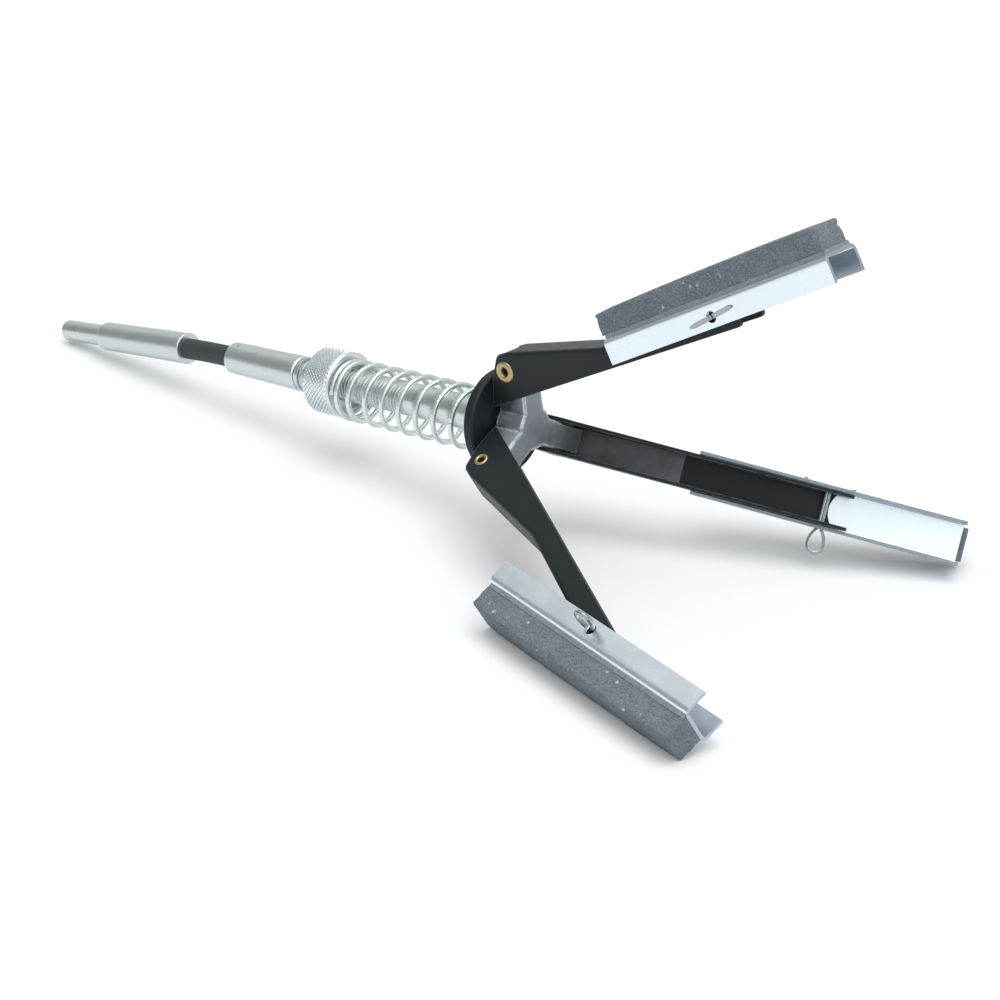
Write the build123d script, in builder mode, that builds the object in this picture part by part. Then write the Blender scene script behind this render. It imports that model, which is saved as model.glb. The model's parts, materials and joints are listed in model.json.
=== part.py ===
"""A three-stone engine cylinder hone, lying on a table on its drive shank and its two lower stones.

The pieces are drawn about the tool's own axis: X runs forward along it, from the shank to the
stones, and the three arms are pivoted round it in the plane x = 0. At the end the whole tool is
laid on the table, which is the plane z = 0.
"""
from build123d import *
from math import cos, radians, sin, tan
import os

os.makedirs("parts", exist_ok=True)

# Fits and gaps between pieces
running_fit = 0.1
press_gap = 0.01
face_gap = 0.2

# Drive end
shank_radius = 3.6
shank_length = 22.3
shank_tail = 14.0
shank_tail_radius = 3.2
shank_rounding = 1.2
ferrule_length = 45.0
ferrule_rear_radius = 4.8
ferrule_front_radius = 5.15
ferrule_rounding = 1.1
ferrule_lip = 0.4
ferrule_cover = 24.0
crimp_radius = 1.1
crimp_depth = 0.45
crimp_inset = 10.2

# Flexible shaft, which sags a little between its two sleeves
flexible_radius = 3.4
flexible_length = 23.5
flexible_sag = 3.2
sleeve_cover = 15.0

# Front sleeve
sleeve_length = 32.8
sleeve_rear_radius = 5.05
sleeve_front_radius = 5.5
sleeve_chamfer = 0.4
sleeve_flat_length = 11.0
sleeve_flat_inset = 2.5
sleeve_flat_depth = 0.5

# Spindle
spindle_radius = 5.0
spindle_tail_radius = 3.8
spindle_tail_length = 10.0
spindle_nose_radius = 3.4
spindle_nose_length = 6.0
spindle_chamfer = 0.5
sleeve_front = -90.2

# Stop ring behind the nut
ring_front = -87.8
ring_width = 1.0
ring_rise = 0.55
ring_groove_depth = 0.45
ring_mouth = 2.6

# Knurled tension nut
nut_rear = -80.5
nut_length = 11.0
nut_radius = 10.0
nut_chamfer = 0.8
nut_recess_radius = 7.2
nut_recess_depth = 1.2

# Compression spring
wire_radius = 0.8
coil_radius = 8.3
coil_turns = 8.5
spring_drop = 1.2

# Pusher disc
pusher_radius = 15.2
pusher_rear = -8.4
pusher_front = -5.05
pusher_chamfer = 0.5
pusher_travel = 4.8
pusher_tilt = 3.5
pusher_gap = 0.5

# Hub
hub_front = 5.2
hub_rear = -4.1
hub_boss_radius = 6.2
lobe_play = 0.3
lobe_overhang = 3.6
lobe_corner = 1.6
hub_edge = 0.5

# Arms
pivot_radius = 17.2
arm_length = 77.4
arm_width = 10.3
arm_sheet = 1.0
arm_inner_edge = 8.1
arm_taper = 2.55
heel_reach = 8.8
heel_rise = 1.0
heel_shoulder = 5.5
ear_rear = 0.7
ear_rounding = 4.0
arm_crown = 5.2
arm_kink = 36.5
arm_kink_height = -0.3
arm_pin_height = 2.2
arm_tip = 7.3
arm_tip_height = -0.9
arm_corner = 1.2
web_start = 2.4
arm_bend = 1.2
web_overrun = 2.4
web_notch_start = 1.2
web_notch_radius = 6.9

# Hollow eyelets that the arms turn on
eyelet_radius = 1.6
eyelet_bore = 1.05
eyelet_head_radius = 3.05
eyelet_roll_radius = 2.0
eyelet_head_height = 0.7

# Stone carriers
carrier_length = 76.0
carrier_play = 0.2
carrier_sheet = 0.95
carrier_rear_reach = 37.2
carrier_open_side = 2.8
carrier_closed_side = 4.3
carrier_bend = 1.8
carrier_inner_bend = 0.5

# Stones and the cement under them
cement_thickness = 0.7
cement_width = 10.4
cement_inset = 0.6
stone_thickness = 6.65
stone_width = 9.8
stone_edge = 0.7

# Cotter pins
cotter_radius = 1.0
cotter_hole_radius = 1.5
cotter_wire_radius = 0.5
cotter_leg_length = 6.4
cotter_eye_length = 8.2
cotter_eye_width = 5.4
cotter_eye_taper = 15.0

# The arms in the photographed pose: angle round the axis, opening of the arm, tilt of the carrier
sides = {
    "upper": (90.0, 20.4, 24.5),
    "near": (210.0, 31.0, 13.5),
    "far": (330.0, 31.0, 35.1),
}

# Values that follow from those above
nut_front = nut_rear + nut_length
sleeve_rear = sleeve_front - sleeve_length
arm_inside = arm_width - 2 * arm_sheet
lobe_width = arm_inside - 2 * lobe_play
carrier_width = arm_width + 2 * (carrier_sheet + carrier_play)
lobe_tip = pivot_radius + lobe_overhang
stone_base = carrier_closed_side + cement_thickness
stone_top = stone_base + stone_thickness
carrier_front_reach = carrier_length - carrier_rear_reach


def inner_edge(along):
    """Height of an arm's straight inner edge, measured from the line of pivot and pin."""
    return -arm_inner_edge + along * tan(radians(arm_taper))


def radial_of(side):
    """Direction from the tool axis out through an arm."""
    around = radians(sides[side][0])
    return Vector(0, cos(around), sin(around))


def tilted_plane(side, origin, opening):
    """Plane with x along a link that opens by an angle, y away from the axis, z across the link."""
    along = Vector(1, 0, 0) * cos(radians(opening)) + radial_of(side) * sin(radians(opening))
    return Plane(origin=origin, x_dir=along, z_dir=Vector(1, 0, 0).cross(radial_of(side)))


def arm_plane(side):
    """Plane of an arm, from its pivot."""
    return tilted_plane(side, radial_of(side) * pivot_radius, sides[side][1])


def carrier_plane(side):
    """Plane of a stone carrier, from its cotter pin."""
    pin = arm_plane(side).from_local_coords(Vector(arm_length, 0, 0))
    return tilted_plane(side, pin, sides[side][2])


pieces = {}

# Flexible shaft: straight inside both sleeves, one slack arc between them
sag_radius = flexible_length / radians(flexible_sag)
with BuildPart() as flexible_shaft:
    with BuildLine() as flexible_route:
        covered = Line((sleeve_rear + sleeve_cover, 0, 0), (sleeve_rear, 0, 0))
        slack = JernArc(
            start=covered @ 1, tangent=(-1, 0), radius=sag_radius, arc_size=flexible_sag
        )
        Line(slack @ 1, (slack @ 1) + (slack % 1) * ferrule_cover)
    with BuildSketch(Plane(origin=flexible_route.line @ 0, z_dir=flexible_route.line % 0)):
        Circle(flexible_radius)
    sweep()

# The arc was drawn flat, so the shaft turns about the tool axis until the arc sags downwards
turned_down = Plane.XY.rotated((90, 0, 0))
pieces["flexible_shaft"] = turned_down.from_local_coords(flexible_shaft.part)
ferrule_mouth = turned_down.from_local_coords(slack @ 1)
rear_forward = turned_down.from_local_coords(Vector(0, 0, 0) - (slack % 1))
drive_plane = Plane(origin=ferrule_mouth, x_dir=rear_forward, z_dir=Vector(0, 1, 0).cross(rear_forward) * -1)

# Rear ferrule: a tapered tube, bored from both ends, with a round crimp on top
with BuildPart() as rear_ferrule:
    with BuildSketch(Plane.XY):
        with BuildLine():
            Polyline(
                (-ferrule_length, 0),
                (-ferrule_length, ferrule_rear_radius),
                (0, ferrule_front_radius),
                (0, 0),
                close=True,
            )
        make_face()
    revolve(axis=Axis.X)
    fillet(rear_ferrule.edges().group_by(Axis.X)[0], ferrule_rounding)
    fillet(rear_ferrule.edges().group_by(Axis.X)[-1], ferrule_lip)
    with BuildSketch(Plane.YZ):
        Circle(flexible_radius + press_gap)
    extrude(amount=-ferrule_cover - face_gap, mode=Mode.SUBTRACT)
    with BuildSketch(Plane.YZ.offset(-ferrule_length)):
        Circle(shank_tail_radius + press_gap)
    extrude(amount=shank_tail + face_gap, mode=Mode.SUBTRACT)
    with BuildSketch(Plane.XY.offset(ferrule_front_radius - crimp_depth)):
        with Locations((-crimp_inset, 0)):
            Circle(crimp_radius)
    extrude(amount=crimp_depth, mode=Mode.SUBTRACT)
pieces["rear_ferrule"] = drive_plane.from_local_coords(rear_ferrule.part)

# Drive shank: a round bar for a drill chuck, with a thinner tail pressed into the ferrule
with BuildPart() as drive_shank:
    with BuildSketch(Plane.YZ.offset(-ferrule_length - shank_length)):
        Circle(shank_radius)
    extrude(amount=shank_length)
    fillet(drive_shank.edges().group_by(Axis.X)[0], shank_rounding)
    with BuildSketch(Plane.YZ.offset(-ferrule_length)):
        Circle(shank_tail_radius)
    extrude(amount=shank_tail)
pieces["drive_shank"] = drive_plane.from_local_coords(drive_shank.part)

# Front sleeve: bored for the flexible shaft and for the spindle's tail, with a pressed flat on top
with BuildPart() as front_sleeve:
    with BuildSketch(Plane.XY):
        with BuildLine():
            Polyline(
                (sleeve_rear, 0),
                (sleeve_rear, sleeve_rear_radius),
                (sleeve_front, sleeve_front_radius),
                (sleeve_front, 0),
                close=True,
            )
        make_face()
    revolve(axis=Axis.X)
    chamfer(front_sleeve.edges().group_by(Axis.X)[0], sleeve_chamfer)
    chamfer(front_sleeve.edges().group_by(Axis.X)[-1], sleeve_chamfer)
    with BuildSketch(Plane.YZ.offset(sleeve_rear)):
        Circle(flexible_radius + press_gap)
    extrude(amount=sleeve_cover + face_gap, mode=Mode.SUBTRACT)
    with BuildSketch(Plane.YZ.offset(sleeve_front)):
        Circle(spindle_tail_radius + press_gap)
    extrude(amount=-spindle_tail_length - face_gap, mode=Mode.SUBTRACT)
    with BuildSketch(Plane.XY.offset(sleeve_rear_radius - sleeve_flat_depth)):
        with Locations((sleeve_rear + sleeve_flat_inset + sleeve_flat_length / 2, 0)):
            SlotOverall(sleeve_flat_length, 2 * flexible_radius)
    extrude(amount=sleeve_front_radius, mode=Mode.SUBTRACT)
pieces["front_sleeve"] = front_sleeve.part

# Spindle: tail in the sleeve, threaded length with the ring's groove, nose in the hub
with BuildPart() as threaded_spindle:
    with BuildSketch(Plane.YZ.offset(sleeve_front + face_gap)):
        Circle(spindle_radius)
    extrude(amount=hub_rear - face_gap - sleeve_front - face_gap)
    chamfer(threaded_spindle.edges(), spindle_chamfer)
    with BuildSketch(Plane.YZ.offset(sleeve_front - spindle_tail_length)):
        Circle(spindle_tail_radius)
    extrude(amount=spindle_tail_length + 2 * face_gap)
    with BuildSketch(Plane.YZ.offset(hub_rear - 2 * face_gap)):
        Circle(spindle_nose_radius)
    extrude(amount=spindle_nose_length + 2 * face_gap)
    with BuildSketch(Plane.YZ.offset(ring_front - ring_width - press_gap)):
        Circle(spindle_radius + face_gap)
        Circle(spindle_radius - ring_groove_depth, mode=Mode.SUBTRACT)
    extrude(amount=ring_width + 2 * press_gap, mode=Mode.SUBTRACT)
pieces["threaded_spindle"] = threaded_spindle.part

# Stop ring: an open ring in the spindle's groove
with BuildPart() as stop_ring:
    with BuildSketch(Plane.YZ.offset(ring_front - ring_width)):
        Circle(spindle_radius + ring_rise)
        Circle(spindle_radius - ring_groove_depth + press_gap, mode=Mode.SUBTRACT)
        with Locations((0, -spindle_radius)):
            Rectangle(ring_mouth, spindle_radius, mode=Mode.SUBTRACT)
    extrude(amount=ring_width)
pieces["stop_ring"] = stop_ring.part

# Tension nut: chamfered ends, a shallow recess in the front face
with BuildPart() as tension_nut:
    with BuildSketch(Plane.YZ.offset(nut_rear)):
        Circle(nut_radius)
    extrude(amount=nut_length)
    chamfer(tension_nut.edges(), nut_chamfer)
    with BuildSketch(Plane.YZ.offset(nut_rear)):
        Circle(spindle_radius + running_fit)
    extrude(amount=nut_length, mode=Mode.SUBTRACT)
    with BuildSketch(Plane.YZ.offset(nut_front)):
        Circle(nut_recess_radius)
    extrude(amount=-nut_recess_depth, mode=Mode.SUBTRACT)
pieces["tension_nut"] = tension_nut.part

# Compression spring, left-hand wound between the nut and the pusher, hanging a little low on the spindle
spring_start = nut_front + wire_radius + face_gap
spring_end = pusher_rear - wire_radius - face_gap
spring_height = spring_end - spring_start
with BuildPart() as compression_spring:
    with BuildLine() as coil:
        Helix(pitch=spring_height / coil_turns, height=spring_height, radius=coil_radius, lefthand=True)
    with BuildSketch(Plane(origin=coil.line @ 0, z_dir=coil.line % 0)):
        Circle(wire_radius)
    sweep(is_frenet=True)
along_axis = Plane(origin=(spring_start, 0, -spring_drop), x_dir=(0, -1, 0), z_dir=(1, 0, 0))
pieces["compression_spring"] = along_axis.from_local_coords(compression_spring.part)

# Pusher disc: a thick loose washer that the spring presses on the heels of the arms. Its top leans
# back, because the upper arm opens less than the lower two
with BuildPart() as pusher_disc:
    with BuildSketch(Plane.XY):
        Circle(pusher_radius)
    extrude(amount=pusher_front - pusher_rear)
    chamfer(pusher_disc.edges(), pusher_chamfer)
    with BuildSketch(Plane.XY):
        Circle(spindle_radius + pusher_gap)
    extrude(amount=pusher_front - pusher_rear, mode=Mode.SUBTRACT)
leaning = Plane(
    origin=(pusher_rear, 0, 0),
    x_dir=(0, 1, 0),
    z_dir=(cos(radians(pusher_tilt)), 0, sin(radians(pusher_tilt))),
)
pieces["pusher_disc"] = leaning.from_local_coords(pusher_disc.part)

# Hub: a round boss with three flat-sided lobes, bored blind for the spindle and across for eyelets
with BuildPart() as hub:
    with BuildSketch(Plane.YZ.offset(hub_rear)):
        Circle(hub_boss_radius)
        with PolarLocations(lobe_tip / 2, 3, start_angle=90):
            Rectangle(lobe_tip, lobe_width)
    extrude(amount=hub_front - hub_rear)
    tip_corners = hub.edges().filter_by(Axis.X, reverse=True).filter_by(GeomType.LINE)
    tip_corners = [
        edge
        for edge in tip_corners
        if abs(edge.length - lobe_width) < press_gap and edge.center().X < 0
    ]
    fillet(tip_corners, lobe_corner)
    chamfer(hub.faces().sort_by(Axis.X)[-1].edges(), hub_edge)
    with BuildSketch(Plane.YZ.offset(hub_rear)):
        Circle(spindle_nose_radius + press_gap)
    extrude(amount=spindle_nose_length + face_gap, mode=Mode.SUBTRACT)
    with BuildSketch(*[arm_plane(side).offset(-arm_width / 2) for side in sides]):
        Circle(eyelet_radius + running_fit)
    extrude(amount=arm_width, mode=Mode.SUBTRACT)
pieces["hub"] = hub.part

def on_fold(edge):
    """True for an edge of the arm where its web bends into a flange."""
    middle = edge.center()
    along_web = web_start < middle.X < arm_length + web_overrun and middle.Y > arm_kink_height
    return along_web and abs(middle.Z) > arm_width / 2 - press_gap


# Arm: a pressed channel, tall at the pivot and lower past its kink, open towards the axis
with BuildPart() as arm:
    with BuildSketch(Plane.XY.offset(-arm_width / 2)):
        with BuildLine():
            Polyline(
                (-heel_reach, inner_edge(-heel_reach)),
                (-heel_shoulder, -heel_rise),
                (-ear_rear, arm_crown),
                (web_start, arm_crown),
                (arm_kink, arm_kink_height),
                (arm_length + web_overrun, arm_pin_height),
                (arm_length + arm_tip, arm_tip_height),
                (arm_length + arm_tip, inner_edge(arm_length + arm_tip)),
                close=True,
            )
        make_face()
    extrude(amount=arm_width)
    tip_edges = arm.edges().filter_by(Axis.Z).group_by(Axis.X)[-1]
    fillet(tip_edges, arm_corner)
    fillet(arm.edges().filter_by(Axis.Z).sort_by(Axis.Y)[-1], ear_rounding)
    fillet([edge for edge in arm.edges() if on_fold(edge)], arm_bend)
    # The room between the flanges, under the web
    with BuildSketch(Plane.XY.offset(-arm_inside / 2)):
        with BuildLine():
            Polyline(
                (-2 * heel_reach, -2 * arm_inner_edge),
                (-2 * heel_reach, 2 * arm_crown),
                (web_start, 2 * arm_crown),
                (web_start, arm_crown - arm_sheet),
                (arm_kink, arm_kink_height - arm_sheet),
                (arm_length + web_overrun, arm_pin_height - arm_sheet),
                (arm_length + 2 * arm_tip, arm_pin_height - arm_sheet),
                (arm_length + 2 * arm_tip, -2 * arm_inner_edge),
                close=True,
            )
        make_face()
    extrude(amount=arm_inside, mode=Mode.SUBTRACT)
    # The hollow end of the web, past the cotter pin
    with BuildSketch(Plane.XZ.offset(-2 * arm_crown)):
        with Locations((arm_length + web_notch_start + web_notch_radius, 0)):
            Circle(web_notch_radius)
            Rectangle(2 * web_notch_radius, arm_inside, mode=Mode.INTERSECT)
    extrude(amount=2 * arm_crown, mode=Mode.SUBTRACT)
    with BuildSketch(Plane.XY.offset(-arm_width / 2)):
        Circle(eyelet_radius + press_gap)
        with Locations((arm_length, 0)):
            Circle(cotter_hole_radius)
    extrude(amount=arm_width, mode=Mode.SUBTRACT)

# Eyelet: a hollow rivet across the arm, a wide head at one end and a rolled rim at the other
head_face = arm_width / 2 + press_gap
with BuildPart() as eyelet:
    with BuildSketch(Plane.XZ):
        with BuildLine():
            Polyline(
                (eyelet_bore, -head_face - eyelet_head_height),
                (eyelet_roll_radius - 0.3, -head_face - eyelet_head_height),
                (eyelet_roll_radius, -head_face - 0.3),
                (eyelet_roll_radius, -head_face),
                (eyelet_radius, -head_face),
                (eyelet_radius, head_face),
                (eyelet_head_radius, head_face),
                (eyelet_head_radius, head_face + 0.3),
                (eyelet_bore + 0.6, head_face + eyelet_head_height),
                (eyelet_bore, head_face + eyelet_head_height),
                close=True,
            )
        make_face()
    revolve(axis=Axis.Z)

# Stone carrier: a shallow channel with its flanges outside the arm's flanges
with BuildPart() as carrier:
    with BuildSketch(Plane.YZ.offset(-carrier_rear_reach)):
        with Locations(((carrier_closed_side - carrier_open_side) / 2, 0)):
            Rectangle(carrier_closed_side + carrier_open_side, carrier_width)
    extrude(amount=carrier_length)
    fillet(carrier.edges().filter_by(Axis.X).group_by(Axis.Y)[-1], carrier_bend)
    inside_of_web = carrier_closed_side - carrier_sheet
    channel_depth = inside_of_web + carrier_open_side
    with BuildSketch(Plane.YZ.offset(-carrier_rear_reach)):
        with Locations((channel_depth / 2 - carrier_open_side, 0)):
            Rectangle(channel_depth, carrier_width - 2 * carrier_sheet)
    extrude(amount=carrier_length, mode=Mode.SUBTRACT)
    inner_folds = carrier.edges().filter_by(Axis.X).filter_by_position(Axis.Y, inside_of_web, inside_of_web)
    fillet(inner_folds, carrier_inner_bend)
    with BuildSketch(Plane.XY.offset(-carrier_width / 2)):
        Circle(cotter_hole_radius)
    extrude(amount=carrier_width, mode=Mode.SUBTRACT)

# Cement: a thin bed between the carrier and its stone
with BuildPart() as cement:
    with BuildSketch(Plane.XZ.offset(-carrier_closed_side - press_gap)):
        with Locations((carrier_length / 2 - carrier_rear_reach, 0)):
            Rectangle(carrier_length - 2 * cement_inset, cement_width)
    extrude(amount=-cement_thickness + 2 * press_gap)

# Stone: a plain abrasive stick with slightly worn edges
with BuildPart() as stone:
    with BuildSketch(Plane.XZ.offset(-stone_base)):
        with Locations((carrier_length / 2 - carrier_rear_reach, 0)):
            Rectangle(carrier_length, stone_width)
    extrude(amount=-stone_thickness)
    fillet(stone.edges().group_by(Axis.Y)[-1], stone_edge)

# Cotter pin: shank through the flanges, a teardrop eye at one side, two bent legs at the other
shank_half = carrier_width / 2 + press_gap
leg_height = shank_half + cotter_wire_radius
eye_root = -shank_half
eye_radius = cotter_eye_width / 2 - cotter_wire_radius
eye_shoulder = eye_radius * cos(radians(cotter_eye_taper))
eye_waist = eye_root - cotter_eye_length + cotter_eye_width / 2 + eye_radius * sin(radians(cotter_eye_taper))
eye_mouth = eye_shoulder - (eye_root - eye_waist) * tan(radians(cotter_eye_taper))
with BuildPart() as cotter_pin:
    with BuildSketch(Plane.XY.offset(-shank_half - cotter_wire_radius)):
        Circle(cotter_radius)
    extrude(amount=2 * (shank_half + cotter_wire_radius))
    with BuildLine(Plane.XZ) as legs:
        Line((-cotter_leg_length, leg_height), (cotter_leg_length, leg_height))
    with BuildSketch(Plane(origin=legs.line @ 0, z_dir=legs.line % 0)):
        Circle(cotter_wire_radius)
    sweep()
    with BuildLine(Plane.XZ) as eye:
        cheek = Line((eye_mouth, eye_root), (eye_shoulder, eye_waist))
        TangentArc((eye_shoulder, eye_waist), (-eye_shoulder, eye_waist), tangent=cheek % 1)
        Line((-eye_shoulder, eye_waist), (-eye_mouth, eye_root))
    with BuildSketch(Plane(origin=eye.line @ 0, z_dir=eye.line % 0)):
        Circle(cotter_wire_radius)
    sweep()

for side in sides:
    pieces[f"{side}_arm"] = arm_plane(side).from_local_coords(arm.part)
    pieces[f"{side}_eyelet"] = arm_plane(side).from_local_coords(eyelet.part)
    pieces[f"{side}_carrier"] = carrier_plane(side).from_local_coords(carrier.part)
    pieces[f"{side}_cement"] = carrier_plane(side).from_local_coords(cement.part)
    pieces[f"{side}_stone"] = carrier_plane(side).from_local_coords(stone.part)
    pieces[f"{side}_cotter_pin"] = carrier_plane(side).from_local_coords(cotter_pin.part)

# The table touches the end of the shank and one corner of each lower stone
shank_contact = drive_plane.from_local_coords(Vector(-ferrule_length - shank_length, 0, -shank_radius))
near_contact = carrier_plane("near").from_local_coords(
    Vector(-carrier_rear_reach, stone_top, stone_width / 2)
)
far_contact = carrier_plane("far").from_local_coords(
    Vector(carrier_front_reach, stone_top, -stone_width / 2)
)
up = (near_contact - shank_contact).cross(far_contact - shank_contact).normalized()
if up.Z < 0:
    up = up * -1
table = Plane(origin=shank_contact, x_dir=Vector(1, 0, 0) - up * up.X, z_dir=up)
laid = {name: table.to_local_coords(piece) for name, piece in pieces.items()}

# The origin is under the middle of the tool, on the table
box = Compound(list(laid.values())).bounding_box()
settled = Pos(-box.center().X, -box.center().Y, -box.min.Z)
for name, piece in laid.items():
    placed = settled * piece
    placed.label = name
    export_step(placed, f"parts/{name}.step")
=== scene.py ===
"""Looks of the cylinder hone: turned, knurled and wound pieces, stones, finishes, floor, light and camera.

Shapes are drawn in millimetres about the tool's own axes, or about an arm or a stone carrier, and are
placed by matrices that come from the joints of the frame.
"""
import json
import math

import bmesh
import bpy
from mathutils import Matrix, Vector, noise


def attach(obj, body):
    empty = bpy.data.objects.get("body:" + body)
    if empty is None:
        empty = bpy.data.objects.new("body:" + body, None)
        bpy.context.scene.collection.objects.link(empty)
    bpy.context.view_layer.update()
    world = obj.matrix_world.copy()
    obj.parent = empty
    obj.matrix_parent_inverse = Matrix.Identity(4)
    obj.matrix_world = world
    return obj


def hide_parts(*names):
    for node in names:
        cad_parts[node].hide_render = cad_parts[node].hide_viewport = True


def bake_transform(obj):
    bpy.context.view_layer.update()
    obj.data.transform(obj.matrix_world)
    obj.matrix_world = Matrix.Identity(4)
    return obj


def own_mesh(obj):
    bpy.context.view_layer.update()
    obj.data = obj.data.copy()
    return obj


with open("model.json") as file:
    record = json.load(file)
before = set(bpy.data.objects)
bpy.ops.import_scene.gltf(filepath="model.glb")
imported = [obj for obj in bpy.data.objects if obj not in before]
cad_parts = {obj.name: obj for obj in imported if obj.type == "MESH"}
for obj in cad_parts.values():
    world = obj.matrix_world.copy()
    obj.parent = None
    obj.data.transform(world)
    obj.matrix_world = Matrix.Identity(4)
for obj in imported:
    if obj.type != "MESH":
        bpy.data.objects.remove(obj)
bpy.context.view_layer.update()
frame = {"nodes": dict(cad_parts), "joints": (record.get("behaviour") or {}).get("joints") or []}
nodes = frame["nodes"]
joints = {joint["name"]: joint for joint in frame["joints"]}
sides = ("near", "far", "upper")

MM = 0.001
FULL_TURN = 2 * math.pi
WHITE = (1.0, 1.0, 1.0, 1.0)

# Sizes are in millimetres and angles in degrees, unless a line says otherwise
merge_distance = 1e-4
cut_distance = 1e-5

# Flexible shaft, with stations along the tool's axis, forward from the hub's pivots; where its winding
# rises, is widest and falls is in shares of the pitch
sleeve_rear = -123.0
flexible_gap = 23.5
flexible_sag = math.radians(3.2)
flexible_radius = 3.4
flexible_cover = 8.0
winding_pitch = 1.1
winding_depth = 0.05
winding_shoulder = 0.02
winding_shares = (0.2, 0.5, 0.8)

# Threaded spindle; where its thread's root ends and its crest lies is in shares of the pitch
spindle_radius = 5.0
spindle_rear = -90.0
spindle_front = -4.3
spindle_chamfer = 0.4
groove_rear = -88.8
groove_front = -87.8
groove_radius = 4.55
thread_front = -43.0
thread_runout = 0.6
thread_pitch = 1.25
thread_depth = 0.62
thread_root_end = 0.12
thread_crest = (0.44, 0.68)

# Tension nut
nut_rear = -80.5
nut_front = -69.5
nut_radius = 10.0
nut_bore = 5.12
nut_bore_chamfer = 0.5
nut_edge = 0.55
nut_recess_radius = 7.6
nut_recess_depth = 1.6
knurl_around = 44
knurl_rows = 7
knurl_depth = 0.42
knurl_land = 0.34

# Compression spring
wire_radius = 0.85
coil_radius = 8.7
spring_drop = 1.3
spring_rear = -68.65
spring_turns = 10.3
open_pitch = 7.03
closed_pitch = 1.68
closed_turns = 0.4
opening_turns = 1.8
first_angle = math.radians(173)
spring_split = -19.5

# Eyelets, about an arm's pivot
arm_half = 5.16
eyelet_bore = 1.0
eyelet_radius = 1.58
head_radius = 3.1
head_height = 0.4
head_lip = 0.25
head_flare = 0.8
roll_radius = 2.0
roll_height = 0.2
roll_lip = 0.1
roll_flare = 0.5

# Carriers, about a carrier's cotter pin; the stop is the angle at which a carrier's web meets its arm
carrier_stop = 4.5
carrier_half = 6.3
carrier_rear = -37.2
carrier_length = 76.0
carrier_top = 4.3

# Stones, with their wear as depths at the rear end's belly, its corner and the front end
stone_size = (76.0, 6.65, 9.8)
stone_top = 11.65
stone_shift = {"near": 0.0, "far": 1.8, "upper": -0.8}
rear_wear = {"near": (0.0, 0.5), "far": (0.2, 0.3), "upper": (0.35, 0.3)}
front_wear = 0.4
belly_start = 4
corner_start = 31
front_start = 12

# Cement beds, with the lap's waves along the stone and the fillet on the carrier's bend
cement_size = (75.4, 1.05, 10.35)
cement_lap = 0.1
long_wave = 0.16
short_wave = 0.7
short_wave_share = 0.5
wave_share = 0.25
wave_base = 0.05
bend_start = 4.5
bend_slope = 0.75
bend_spread = 1.04

# Chips and grain of stones and cement
bedded_share = 0.25
chip_reach = 1.4
chip_frequency = 0.55
chip_threshold = 0.18
grain_frequency = 2.3
end_zone = 3.0

# Cotter pins
pin_turn = {"near": -11, "far": 0.0, "upper": 6}
pin_half_width = 0.7
pin_thickness = 0.88
pin_split = 0.07
pin_flat = 0.02
pin_flat_share = 0.86
leg_length = 7.3
leg_rise = 0.2
leg_curl = 0.45
leg_bend = 0.9
leg_point = 1.6
leg_tip_share = 0.42
eye_length = 6.9
eye_width = 5.0
eye_gap = 0.3
eye_neck = 0.8
eye_fullness = 0.9
eye_taper = (0.45, 0.75)

# Broken edges of the pressed, folded and cast pieces, whose forms come from the frame, in metres
node_merge_distance = 1e-6
arm_edge = 0.00018
carrier_edge = 0.0001
hub_edge = 0.0003
disc_edge = 0.00015


def spot(joint):
    """Where a joint is, in metres."""
    return Vector(joints[joint]["pos_m"])


def heading(joint):
    """The way that a joint's axis points."""
    return Vector(joints[joint]["axis"]).normalized()


def placed(origin, along, across):
    """Matrix from millimetres, x along one direction and z along another, to metres in the frame."""
    turn = Matrix((along, across.cross(along), across)).transposed().to_4x4()
    return Matrix.Translation(origin) @ turn @ Matrix.Scale(MM, 4)


pivots = {side: spot(f"{side}_arm_swing") for side in sides}
centre = sum(pivots.values(), Vector()) / len(sides)
tool = placed(centre, heading("nut_travel"), (pivots["upper"] - centre).normalized())


def eyelet_frame(side):
    """Matrix with x along an arm's eyelet and z along the arm."""
    arm_along = (spot(f"{side}_stone_rock") - pivots[side]).normalized()
    return placed(pivots[side], heading(f"{side}_arm_swing"), arm_along)


def carrier_frame(side):
    """Matrix with x along a stone carrier at rest, y out to its stone and z along its cotter pin."""
    pin = spot(f"{side}_stone_rock")
    arm_across = heading(f"{side}_arm_swing")
    rest_rock = math.radians(joints[f"{side}_stone_rock"]["range_deg"][0] + carrier_stop)
    carrier_along = Matrix.Rotation(rest_rock, 3, arm_across) @ (pin - pivots[side]).normalized()
    return placed(pin, carrier_along, arm_across)


eyelet_frames = {side: eyelet_frame(side) for side in sides}
carrier_frames = {side: carrier_frame(side) for side in sides}


# Node trees
def add(tree, kind, inputs=None, **settings):
    """Adds a node; an input that is given a socket is linked to it, and any other value is set."""
    made = tree.nodes.new(kind)
    for key, value in settings.items():
        setattr(made, key, value)
    for key, value in (inputs or {}).items():
        if isinstance(value, bpy.types.NodeSocket):
            tree.links.new(value, made.inputs[key])
        else:
            made.inputs[key].default_value = value
    return made


def worked_out(tree, operation, first, second):
    return add(tree, "ShaderNodeMath", {0: first, 1: second}, operation=operation).outputs[0]


def plus(tree, first, second):
    return worked_out(tree, "ADD", first, second)


def times(tree, first, second):
    return worked_out(tree, "MULTIPLY", first, second)


def larger(tree, first, second):
    return worked_out(tree, "MAXIMUM", first, second)


def alignment(tree, first, second):
    """The cosine of the angle between two directions."""
    directions = {0: first, 1: second}
    return add(tree, "ShaderNodeVectorMath", directions, operation="DOT_PRODUCT").outputs["Value"]


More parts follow.
